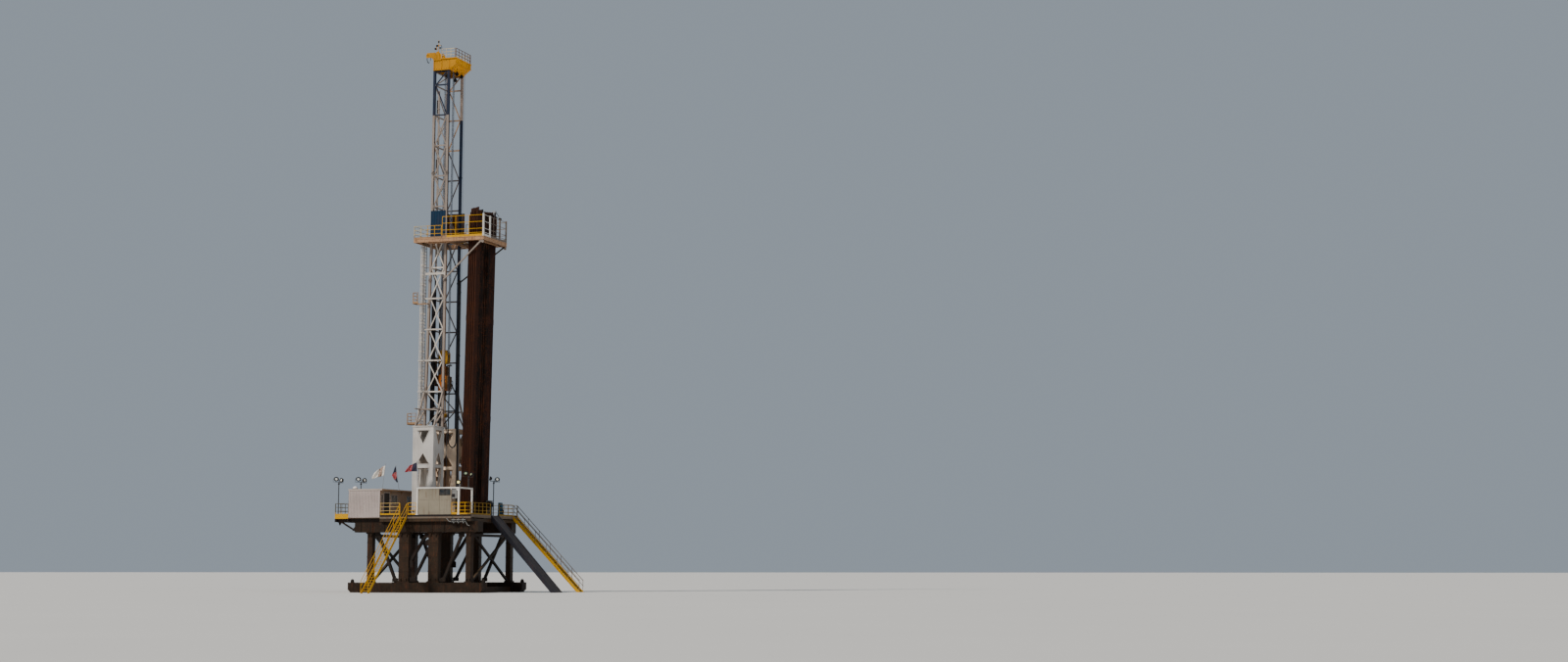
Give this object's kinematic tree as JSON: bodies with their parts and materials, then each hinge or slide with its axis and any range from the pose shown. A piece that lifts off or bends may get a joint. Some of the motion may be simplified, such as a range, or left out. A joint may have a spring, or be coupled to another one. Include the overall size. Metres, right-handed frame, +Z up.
{
  "type": "land drilling rig, 1:10 scale model",
  "caption": "Oil drilling rig on a raised floor with plated lower mast, lattice mast, yellow crown, racked drill pipe, doghouse, stairs, pipe ramp and a sliding top drive.",
  "frame": {"origin": "on the well's axis at ground level", "axes": "+Z up along the well and the mast, +X from the well towards the pipe ramp, +Y to the far side"},
  "size_m": [2.1061, 1.7064, 5.18],
  "materials": {
    "dark_steel": "dusty matt paint",
    "cream_steel": "weathered satin paint",
    "deck_plate": "worn checker plate",
    "rusty_steel": "rust and pipe dope",
    "yellow_steel": "weathered gloss paint",
    "tan_steel": "weathered satin paint",
    "column_paint": "weathered satin paint",
    "cabin_wall": "dusty satin paint",
    "cabin_roof": "dusty satin paint",
    "dark_glass": "dusty",
    "dark_door": "satin",
    "wind_white": "satin",
    "wind_grey": "dusty matt",
    "panel_paint": "satin",
    "black_steel": "satin",
    "pipe_steel": "dark mill rust",
    "sheave_steel": "greasy",
    "orange_steel": "oily gloss paint",
    "line_wire": "greasy wire rope",
    "hose_rubber": "dusty",
    "lamp_grey": "satin",
    "flag_pole": "satin",
    "flag_cloth": "woven nylon"
  },
  "bodies": {
    "rig": {"base_boxes": "dark_steel", "base_spreaders": "dark_steel", "substructure_legs": "dark_steel", "substructure_braces": "dark_steel", "box_beams": "dark_steel", "floor_frame": "cream_steel", "floor_deck": "deck_plate", "rotary_table": "rusty_steel", "setback_mats": "deck_plate", "platform_frame": "dark_steel", "platform_deck": "yellow_steel", "doghouse_floor": "deck_plate", "doghouse_side_walls": "cabin_wall", "doghouse_end_walls": "cabin_wall", "doghouse_roof": "cabin_roof", "doghouse_door": "dark_door", "doghouse_windows": "dark_glass", "wind_wall_frame": "wind_white", "wind_wall_panel": "wind_grey", "floor_rails": "yellow_steel", "control_cabinet": "wind_white", "stair_treads": "deck_plate", "stair_sides": "yellow_steel", "pipe_ramp": "dark_steel", "mast_columns": "column_paint", "column_ties": "tan_steel", "mast_knees": "tan_steel", "mast_legs": "tan_steel", "near_lattice": "tan_steel", "far_lattice": "tan_steel", "rear_lattice": "tan_steel", "wind_panels": "panel_paint", "guide_rails": "black_steel", "standpipe": "black_steel", "ladder": "tan_steel", "ladder_cage": "tan_steel", "ladder_platforms": "yellow_steel", "board_frame": "tan_steel", "board_deck": "tan_steel", "board_fingers": "tan_steel", "board_rails": "yellow_steel", "board_braces": "tan_steel", "pipe_stands": "pipe_steel", "crown_frame": "yellow_steel", "crown_sheaves": "sheave_steel", "crown_platform": "yellow_steel", "crown_rails": "cream_steel", "gin_arm": "yellow_steel", "light_poles": "lamp_grey", "flagpoles": "flag_pole", "flags": "flag_cloth", "drilling_lines": "line_wire", "rotary_hose": "hose_rubber"},
    "hoist": {"travelling_block": "yellow_steel", "top_drive": "orange_steel", "top_drive_dolly": "rusty_steel", "elevator": "yellow_steel"}
  },
  "joints": [
    {"name": "hoist_slide", "type": "slide", "parent": "rig", "child": "hoist", "axis": [0, 0, 1], "range_m": [-0.89, 2], "deforming": ["drilling_lines", "rotary_hose"]}
  ]
}
